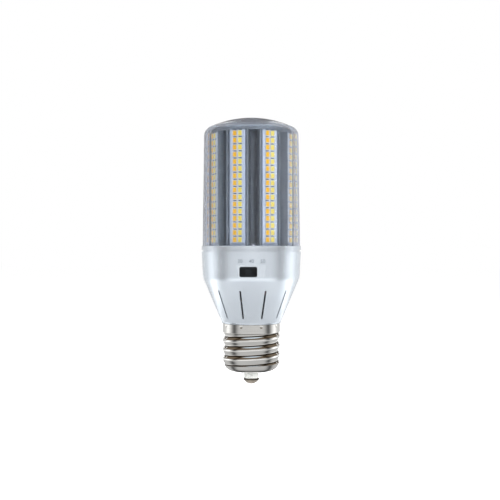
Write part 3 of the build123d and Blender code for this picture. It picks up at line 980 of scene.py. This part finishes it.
@dataclass
class LightBoards:
    """The eight light boards: their diode packages and the solder pads between the rows."""

    lobes: int = 8
    turn: float = 3.4
    face: float = 27.6
    width: float = 2.8
    height: float = 3.5
    rows: int = 16
    pitch: float = 4.656
    first_row: float = 98.4
    spacing: float = 3.7
    terminal_width: float = 9.6
    terminal_height: float = 1.7
    terminal_middle: float = 95.65
    pad_half_width: float = 1.2
    pad_half_height: float = 0.34
    sides: int = 12
    cup_rings: int = 4
    rings: tuple = field(
        default=(
            (1.0, 1.0, 0.0),
            (1.0, 1.0, 0.62),
            (0.96, 0.97, 0.74),
            (0.9, 0.92, 0.74),
            (0.87, 0.9, 0.66),
            (0.5, 0.55, 0.7),
            (0.0, 0.0, 0.71),
        )
    )
    terminal_rings: tuple = ((1.0, 1.0, 0.0), (1.0, 1.0, 0.1), (0.97, 0.8, 0.22), (0.0, 0.0, 0.25))
    pad_rings: tuple = ((1.0, 1.0, 0.0), (0.92, 0.92, 0.09), (0.0, 0.0, 0.12))

    def place(self, lobe: int, local: np.ndarray) -> np.ndarray:
        """Turn points given across, up and out of a board's face into the lamp's frame.

        Args:
            lobe: the board's number, from 0.
            local: across, height and distance out of the face.

        Returns:
            X, Y and Z in millimetres.
        """
        angle = math.radians(self.turn + (lobe + 0.5) * 360 / self.lobes - 90)
        out = self.face + local[:, 2]
        x = out * math.cos(angle) - local[:, 0] * math.sin(angle)
        y = out * math.sin(angle) + local[:, 0] * math.cos(angle)
        return np.stack([x, y, local[:, 1]], axis=1)

    def package(self) -> tuple[np.ndarray, np.ndarray, np.ndarray]:
        """One diode package about its centre.

        The rings are rounded oblongs up the reflector's cup and over the silicone's face.

        Returns:
            Points, faces and each face's material number.
        """
        rings = np.array(self.rings)
        outline = oblong(self.sides, self.width / 2, self.height / 2, 0.2, 0.2)
        faces = grid_faces(len(rings), self.sides, False, True)
        material = (np.arange(len(faces)) // self.sides >= self.cup_rings).astype(int)
        return ringed(rings, outline), faces, material

    def build(self, palette: Palette) -> list[bpy.types.Object]:
        """Build each board's two columns of packages and its pads.

        Args:
            palette: the finishes.

        Returns:
            The pieces.
        """
        made = []
        points, faces, material = self.package()
        heights = self.first_row + self.pitch * np.arange(self.rows)
        shift = (np.arange(self.rows) * len(points))[:, None, None]
        for lobe in range(self.lobes):
            for name, side in (("warm", -1), ("cool", 1)):
                column = np.array([side * self.spacing / 2, 0, 0])
                local = np.repeat(points[None] + column, self.rows, axis=0)
                local[:, :, 1] += heights[:, None]
                made.append(
                    Piece.make(
                        f"{name}_packages_{lobe + 1}",
                        self.place(lobe, local.reshape(-1, 3)),
                        (faces[None] + shift).reshape(-1, 4),
                        [palette["reflector_plastic"], palette[f"{name}_phosphor_silicone"]],
                        slot=f"{name}_phosphor",
                        replaces=(f"{name}_diodes_{lobe + 1}",),
                        face_material=np.tile(material, self.rows),
                        crease_deg=30,
                    )
                )
            made.append(self.pads(lobe, palette, heights))
            made.append(self.terminal(lobe, palette))
        return made

    def terminal(self, lobe: int, palette: Palette) -> bpy.types.Object:
        """The soldered terminal at the foot of one board.

        The rings are rounded oblongs, as on the diode packages, and the last one closes it.

        Args:
            lobe: the board's number, from 0.
            palette: the finishes.

        Returns:
            The piece.
        """
        steps = 4 * self.sides
        rings = np.array(self.terminal_rings)
        half_width, half_height = self.terminal_width / 2, self.terminal_height / 2
        local = ringed(rings, oblong(steps, half_width, half_height, 0.2, 0.4))
        local[:, 1] += self.terminal_middle
        return Piece.make(
            f"soldered_terminal_{lobe + 1}",
            self.place(lobe, local),
            grid_faces(len(rings), steps, False, True),
            [palette["tinned_terminal_pad"]],
            slot="board_mask",
            crease_deg=50,
        )

    def pads(self, lobe: int, palette: Palette, heights: np.ndarray) -> bpy.types.Object:
        """The soldered pads between the rows of one board.

        Args:
            lobe: the board's number, from 0.
            palette: the finishes.
            heights: the heights of the rows.

        Returns:
            The piece.
        """
        rings = np.array(self.pad_rings)
        outline = oblong(self.sides, self.pad_half_width, self.pad_half_height, 0.4, 0.6)
        bead = ringed(rings, outline)
        middles = np.append(heights, heights[-1] + self.pitch) - self.pitch / 2
        centres = np.array(
            [(side * self.spacing / 2, z, 0) for side in (-1, 1) for z in middles]
        )
        local = (bead[None] + centres[:, None]).reshape(-1, 3)
        shift = (np.arange(len(centres)) * len(bead))[:, None, None]
        faces = grid_faces(len(rings), self.sides, False, True)
        # The pads wear the darker solder finish, which carries painted shade for the gaps between
        # rows
        return Piece.make(
            f"soldered_pads_{lobe + 1}",
            self.place(lobe, local),
            (faces[None] + shift).reshape(-1, 4),
            [palette["shaded_tin_solder"]],
            slot="board_mask",
            crease_deg=50,
        )


@dataclass
class Legend:
    """The three printed marks over the selector window."""

    marks: tuple = ("30", "40", "50")
    spacing: float = 7.3
    height: float = 84.3
    size: float = 3.3
    ink: float = 0.03
    crease_radius: float = 33.11
    crease_height: float = 72.9
    draft: float = 0.0503

    def build(self, palette: Palette) -> list[bpy.types.Object]:
        """Build each mark as thin ink wrapped on the housing's skirt.

        A point across the text becomes that arc length round the skirt, whose radius grows by
        the draft with height.

        Args:
            palette: the finishes.

        Returns:
            The pieces.
        """
        made = []
        for number, mark in enumerate(self.marks):
            curve = bpy.data.curves.new(f"mark_{mark}", "FONT")
            curve.body = mark
            curve.size = self.size
            curve.align_x = "CENTER"
            curve.align_y = "CENTER"
            curve.extrude = self.ink / 2
            holder = put(f"mark_{mark}", curve)
            bpy.context.view_layer.update()
            mesh = bpy.data.meshes.new_from_object(holder)
            bpy.data.objects.remove(holder)
            flat = np.zeros(len(mesh.vertices) * 3)
            mesh.vertices.foreach_get("co", flat)
            flat = flat.reshape(-1, 3)
            height = self.height + flat[:, 1]
            radius = self.crease_radius + self.draft * (height - self.crease_height)
            radius = radius + flat[:, 2] + self.ink / 2
            across = (number - 1) * self.spacing + flat[:, 0]
            turn = across / self.crease_radius
            placed = np.stack([radius * np.sin(turn), -radius * np.cos(turn), height], axis=1)
            mesh.vertices.foreach_set("co", (placed * MM).ravel())
            mesh.materials.clear()
            mesh.materials.append(palette["grey_printed_ink"])
            mesh.name = f"printed_mark_{mark}"
            piece = put(mesh.name, mesh)
            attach(piece, BODY)
            LOG.info("piece %s: %d faces", piece.name, len(mesh.polygons))
            made.append(piece)
        return made


@dataclass
class Studio:
    """The floor, the white world, the soft lamps, the reflected room and the camera.

    Each lamp has an azimuth in degrees from the selector side towards +X, a distance from the
    axis, the height of its middle, the width and height of its face, and a power in watts.
    """

    distance: float = 560.0
    eye_height: float = 91.65
    eye_side: float = -0.9
    lens: float = 58.7
    middle: float = 90.0
    sensor: float = 36.0
    world_light: float = 0.2
    floor_glow: float = 0.82
    floor_reach: float = 4000.0
    lamps: tuple = (
        ("key_box", 20, 560, 220, 220, 320, 2.4),
        ("fill_box", -14, 700, 200, 400, 300, 1.1),
        ("right_box", 84, 560, 130, 120, 420, 4.0),
        ("left_box", -80, 560, 130, 120, 420, 3.4),
    )

    def build(self) -> None:
        """Build everything that lights and frames the lamp."""
        self.camera()
        self.world()
        self.floor()
        for lamp in self.lamps:
            self.soft_box(*lamp)
        Surroundings().build()

    def camera(self) -> None:
        """A level camera in front of the selector side."""
        data = bpy.data.cameras.new("camera")
        data.lens = self.lens
        data.sensor_width = self.sensor
        data.clip_start = 0.01
        made = put("camera", data)
        made.location = (self.eye_side * MM, -self.distance * MM, self.eye_height * MM)
        made.rotation_euler = (math.radians(90), 0, 0)
        bpy.context.scene.camera = made

    def world(self) -> None:
        """White where the camera, gloss or glass looks past the lamp, grey as a light."""
        world = bpy.data.worlds.new("studio")
        bpy.context.scene.world = world
        tree = new_tree(world)
        path = add_node(tree, "ShaderNodeLightPath")
        seen = self.seen(tree, path)
        strength = add_node(
            tree, "ShaderNodeMapRange", {"To Min": self.world_light}, {"Value": seen}
        )
        light = add_node(
            tree,
            "ShaderNodeBackground",
            {"Color": linear("FFFFFF")},
            {"Strength": strength.outputs[0]},
        )
        add_node(tree, "ShaderNodeOutputWorld", links={"Surface": light.outputs[0]})

    @staticmethod
    def seen(tree: bpy.types.NodeTree, path: bpy.types.Node) -> bpy.types.NodeSocket:
        """One where the camera, a gloss or a glass ray looks, and nought elsewhere.

        Args:
            tree: the tree that gets the nodes.
            path: its Light Path node.

        Returns:
            The socket that carries it.
        """
        first = add_node(
            tree,
            "ShaderNodeMath",
            {"operation": "MAXIMUM"},
            {0: path.outputs["Is Camera Ray"], 1: path.outputs["Is Glossy Ray"]},
        )
        return add_node(
            tree,
            "ShaderNodeMath",
            {"operation": "MAXIMUM"},
            {0: first.outputs[0], 1: path.outputs["Is Transmission Ray"]},
        ).outputs[0]

    def floor(self) -> None:
        """A plain pale floor that keeps the lamp's shadow."""
        reach = self.floor_reach
        points = np.array(
            [(-reach, -reach, 0), (reach, -reach, 0), (reach, reach, 0), (-reach, reach, 0)]
        )
        mesh = bpy.data.meshes.new("floor")
        mesh.from_pydata((points * MM).tolist(), [], [(0, 1, 2, 3)])
        made = bpy.data.materials.new("pale_painted_floor")
        tree = new_tree(made)
        path = add_node(tree, "ShaderNodeLightPath")
        paint = add_node(tree, "ShaderNodeBsdfDiffuse", {"Color": linear("F2F2F2")})
        share = add_node(
            tree,
            "ShaderNodeMath",
            {"operation": "MULTIPLY", 1: self.floor_glow},
            {0: self.seen(tree, path)},
        )
        glow = add_node(
            tree,
            "ShaderNodeEmission",
            {"Color": linear("FFFFFF")},
            {"Strength": share.outputs[0]},
        )
        both = add_node(
            tree, "ShaderNodeAddShader", {}, {0: paint.outputs[0], 1: glow.outputs[0]}
        )
        add_node(tree, "ShaderNodeOutputMaterial", links={"Surface": both.outputs[0]})
        mesh.materials.append(made)
        put("floor", mesh)

    @staticmethod
    def around(azimuth: float, distance: float) -> tuple[float, float]:
        """The place at an angle round the lamp.

        Args:
            azimuth: degrees from the selector side towards +X.
            distance: from the axis.

        Returns:
            X and Y.
        """
        turn = math.radians(azimuth)
        return distance * math.sin(turn), -distance * math.cos(turn)

    def soft_box(
        self,
        name: str,
        azimuth: float,
        distance: float,
        height: float,
        width: float,
        tall: float,
        power: float,
    ) -> None:
        """A soft lamp that faces the lamp's middle and that gloss doesn't meet.

        Args:
            name: its name.
            azimuth: degrees from the selector side towards +X.
            distance: from the axis.
            height: of its centre.
            width: of its face.
            tall: the height of its face.
            power: in watts.
        """
        data = bpy.data.lights.new(name, "AREA")
        data.shape = "RECTANGLE"
        data.size = width * MM
        data.size_y = tall * MM
        data.energy = power
        made = put(name, data)
        x, y = self.around(azimuth, distance)
        made.location = (x * MM, y * MM, height * MM)
        tilt = math.atan2(height - self.middle, distance)
        made.rotation_euler = (math.radians(90) - tilt, 0, math.radians(azimuth))
        made.visible_glossy = False


@dataclass
class Surroundings:
    """A plain studio as gloss sees it, the same on both sides of the lamp.

    A pale room and table are lit by a soft box behind the camera and one at either side, with a
    dark flat before each side box and a dim ceiling over the boxes. Greys are sRGB levels. Only
    gloss meets these sheets, so they neither light nor hide. A pair of numbers is a middle and
    a width, or a start and a span, in degrees on the dome and millimetres on the table.
    """

    distance: float = 1000.0
    eye: float = 30.0
    room: float = 195.0
    ceiling: float = 100.0
    table_grey: float = 180.0
    overhead: float = 220.0
    flats: tuple = (70.0, 15.0)
    flat_depth: float = 0.8
    boxes: tuple = (105.0, 15.0)
    box_light: float = 0.5
    strength: float = 1.35
    warm_most: float = 0.45
    horizon: tuple = (3.0, 4.0)
    crown: tuple = (52.0, 6.0)
    bars: tuple = (20, 3.0, 1.5)
    bar_light: float = 1.3
    back: tuple = (125.0, 15.0)
    front: tuple = (0.45, 18.0)
    table_height: float = 0.5
    near_end: tuple = (45.0, 20.0)
    far_end: tuple = (110.0, 40.0)
    pool: tuple = (0.9, 150.0, 45.0)
    foot_shade: tuple = (10.0, 11.0, 0.02)

    def shade(self, azimuth: np.ndarray, grey: float, box_light: float = 0.0) -> np.ndarray:
        """An even grey, darkened at the two flats and brightened at the two side boxes.

        Args:
            azimuth: angles in degrees.
            grey: the even level, as sRGB.
            box_light: what the side boxes add, in linear light.

        Returns:
            The brightness as the gloss sees it.
        """
        even = ((grey / 255 + 0.055) / 1.055) ** 2.4
        flats = self.hump(np.abs(azimuth), *self.flats)
        boxes = self.hump(np.abs(azimuth), *self.boxes)
        return even * (1 - self.flat_depth * flats) + box_light * boxes

    def tint(self, brightness: np.ndarray, warmth: np.ndarray) -> np.ndarray:
        """Colour a brightness, warm where warmth is above nought and cool below it.

        Args:
            brightness: in linear light.
            warmth: from -1 to 1.

        Returns:
            Red, green, blue and alpha, one row each.
        """
        red = brightness * (1 + self.warm_most * warmth)
        blue = brightness * (1 - self.warm_most * warmth)
        return np.stack([red, brightness, blue, np.ones_like(red)], axis=-1)

    @staticmethod
    def step(value: np.ndarray, start: float, span: float) -> np.ndarray:
        """Nought up to the start, one from a span past it, and an even slope between."""
        return np.clip((value - start) / span, 0, 1)

    @staticmethod
    def hump(value: np.ndarray, middle: float, width: float) -> np.ndarray:
        """One at the middle, falling by e to the square of the distance over the width."""
        return np.exp(-(((value - middle) / width) ** 2))

    @staticmethod
    def spread(azimuth: np.ndarray, radius: np.ndarray, height: np.ndarray) -> np.ndarray:
        """The points at an angle round the lamp, a distance from its axis and a height."""
        turn = np.radians(azimuth)
        return np.stack([radius * np.sin(turn), -radius * np.cos(turn), height], axis=-1)

    def build(self) -> None:
        """Build the dome and the table."""
        turn = np.linspace(-180, 180, 181)
        self.dome(turn)
        self.table(turn)

    def dome(self, turn: np.ndarray) -> None:
        """Build the dome: the room at the horizon, the ceiling above and bars behind.

        Args:
            turn: the columns' angles in degrees.
        """
        rise = np.concatenate([np.linspace(-3, 70, 50), [80, 89.9]])
        azimuth, elevation = np.meshgrid(turn, rise)
        share = self.step(elevation, *self.horizon)
        crown = self.step(elevation, *self.crown)
        count, slope, cut = self.bars
        bars = np.clip(np.cos(np.radians(azimuth * count + 180)) * slope - cut, 0, 1)
        behind = self.step(np.abs(azimuth), *self.back)
        above = self.shade(azimuth, self.ceiling) * (1 - 0.5 * behind)
        above = above + behind * bars * self.bar_light
        level = self.shade(azimuth, self.room, self.box_light)
        level = level + self.front[0] * self.hump(azimuth, 0, self.front[1])
        brightness = level * (1 - share) + above * share
        top = (self.overhead / 255) ** 2.2
        brightness = brightness * (1 - crown) + top * crown
        dark = np.clip(1 - brightness * 3, 0, 1)
        warmth = 0.9 * dark * share * (1 - crown) - 0.3 * crown
        radial = self.distance * np.cos(np.radians(elevation))
        height = self.eye + self.distance * np.sin(np.radians(elevation))
        points = self.spread(azimuth, radial, height)
        self.sheet("reflected_room", points, self.tint(brightness, warmth))

    def table(self, turn: np.ndarray) -> None:
        """Build the table: a near and a far part, a bright pool and shade under the lamp.

        Args:
            turn: the columns' angles in degrees.
        """
        reach = np.concatenate([np.linspace(7, 160, 52), np.linspace(175, 400, 16), [600, 999]])
        azimuth, radius = np.meshgrid(turn, reach)
        share = self.step(radius, *self.near_end)
        away = self.step(radius, *self.far_end)
        even = self.shade(azimuth, self.table_grey)
        plain = self.shade(np.zeros_like(azimuth), self.table_grey)
        brightness = even * (1 - share) + plain * share * (1 - away)
        brightness = brightness + self.shade(azimuth, self.room, self.box_light) * away
        gain, middle, width = self.pool
        brightness = brightness * (1 + gain * self.hump(radius, middle, width))
        start, span, least = self.foot_shade
        brightness = brightness * np.clip((radius - start) / span, least, 1)
        points = self.spread(azimuth, radius, np.full_like(radius, self.table_height))
        self.sheet("reflected_table", points, self.tint(brightness, np.zeros_like(brightness)))

    def sheet(self, name: str, points: np.ndarray, colours: np.ndarray) -> None:
        """A sheet that glows with its points' own colours and is met by gloss alone.

        Args:
            name: its name.
            points: a grid of coordinates in millimetres.
            colours: a grid of linear colours.
        """
        rows, columns = points.shape[:2]
        mesh = bpy.data.meshes.new(name)
        faces = grid_faces(rows, columns, False, False)
        mesh.from_pydata((points.reshape(-1, 3) * MM).tolist(), [], faces.tolist())
        layer = mesh.color_attributes.new("glow", "FLOAT_COLOR", "POINT")
        layer.data.foreach_set("color", colours.astype(np.float32).ravel())
        made = bpy.data.materials.new(f"{name}_glow")
        tree = new_tree(made)
        colour = add_node(tree, "ShaderNodeAttribute", {"attribute_name": "glow"})
        glow = add_node(
            tree,
            "ShaderNodeEmission",
            {"Strength": self.strength},
            {"Color": colour.outputs["Color"]},
        )
        add_node(tree, "ShaderNodeOutputMaterial", links={"Surface": glow.outputs[0]})
        mesh.materials.append(made)
        sheet = put(name, mesh)
        sheet.visible_camera = False
        sheet.visible_shadow = False
        sheet.visible_diffuse = False
        sheet.visible_transmission = False


def main(frame: dict) -> None:
    """Dress the frame and build every piece in order.

    Args:
        frame: the loaded frame.
    """
    logging.basicConfig(level=logging.INFO, format="%(message)s")
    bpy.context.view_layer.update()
    Studio().build()
    palette = Palette()
    palette.dress_frame(frame)
    ScrewShell().build(palette)
    ContactEnd().build(palette)
    ClearCover().build(palette)
    LightBoards().build(palette)
    Legend().build(palette)
    bpy.context.scene.view_settings.view_transform = "Standard"


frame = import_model()

if __name__ == "__main__":
    main(frame)
